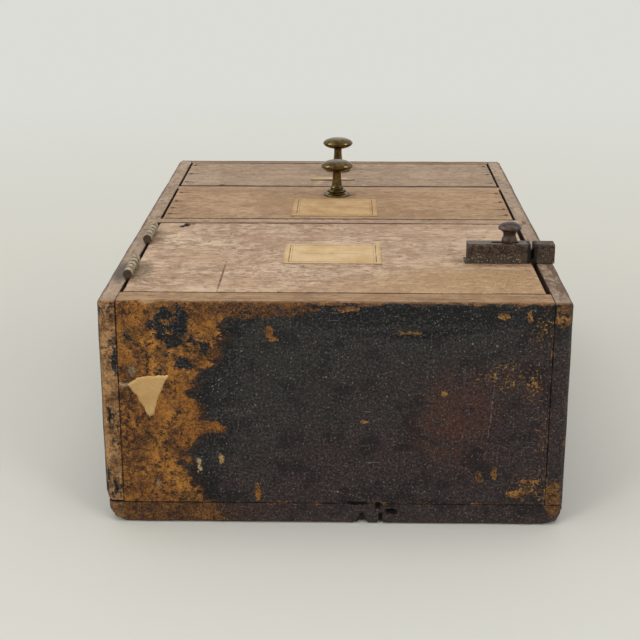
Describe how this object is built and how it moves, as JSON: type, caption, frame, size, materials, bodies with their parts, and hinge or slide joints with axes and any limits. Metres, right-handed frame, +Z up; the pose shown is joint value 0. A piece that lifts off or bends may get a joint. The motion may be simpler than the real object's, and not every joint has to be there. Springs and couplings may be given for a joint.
{
  "type": "apothecary cupboard",
  "caption": "Small upright wooden apothecary cupboard with drawers on brass knobs over a hinged door with a sliding iron latch, its paint worn to bare wood.",
  "frame": {"origin": "middle of the base board's underside, halfway between the front edges and the back's outer face", "axes": "+Z up, -Y out of the front where the drawers and the door open, +X to the right seen from the front, where the latch is"},
  "size_m": [0.254, 0.1536, 0.381],
  "materials": {
    "painted_wood": "dark worn paint over amber wood",
    "bare_wood": "faded bare wood, matt",
    "inner_wood": "unfinished wood",
    "brass": "dull, tarnished",
    "hinge_metal": "old, grey-brown",
    "iron": "dark, worn",
    "paper": "aged label paper"
  },
  "bodies": {
    "case": {"left_side": "painted_wood", "right_side": "painted_wood", "base_board": "painted_wood", "top_board": "painted_wood", "back_board": "painted_wood", "lower_divider": "bare_wood", "upper_divider": "bare_wood", "door_stop": "inner_wood", "case_nails": "iron", "lower_hinge_frame_leaf": "hinge_metal", "upper_hinge_frame_leaf": "hinge_metal", "lower_hinge_pin": "hinge_metal", "upper_hinge_pin": "hinge_metal", "hinge_frame_screws": "iron", "latch_keeper": "iron", "keeper_screw": "iron"},
    "door": {"door_panel": "bare_wood", "lower_hinge_door_leaf": "hinge_metal", "upper_hinge_door_leaf": "hinge_metal", "hinge_door_screws": "iron", "latch_plate": "iron", "latch_case": "iron", "latch_screws": "iron", "door_label": "paper"},
    "latch_slider": {"latch_bolt": "iron", "latch_knob": "iron", "latch_spring": "hinge_metal"},
    "lower_drawer": {"lower_drawer_front": "bare_wood", "lower_drawer_left": "inner_wood", "lower_drawer_right": "inner_wood", "lower_drawer_back": "inner_wood", "lower_drawer_bottom": "inner_wood", "lower_drawer_nails": "iron", "lower_drawer_rose": "brass", "lower_drawer_knob": "brass", "lower_drawer_knob_screw": "iron", "lower_drawer_label": "paper"},
    "upper_drawer": {"upper_drawer_front": "bare_wood", "upper_drawer_left": "inner_wood", "upper_drawer_right": "inner_wood", "upper_drawer_back": "inner_wood", "upper_drawer_bottom": "inner_wood", "upper_drawer_nails": "iron", "upper_drawer_rose": "brass", "upper_drawer_knob": "brass", "upper_drawer_knob_screw": "iron", "upper_drawer_label": "paper"}
  },
  "joints": [
    {"name": "door_swing", "type": "hinge", "parent": "case", "child": "door", "pos_m": [-0.116, -0.06735, 0.094], "axis": [0, 0, -1], "range_deg": [0, 175]},
    {"name": "latch_slide", "type": "slide", "parent": "door", "child": "latch_slider", "axis": [1, 0, 0], "range_m": [-0.009, 0.004]},
    {"name": "lower_drawer_slide", "type": "slide", "parent": "case", "child": "lower_drawer", "axis": [0, -1, 0], "range_m": [0, 0.095]},
    {"name": "upper_drawer_slide", "type": "slide", "parent": "case", "child": "upper_drawer", "axis": [0, -1, 0], "range_m": [0, 0.095]}
  ]
}
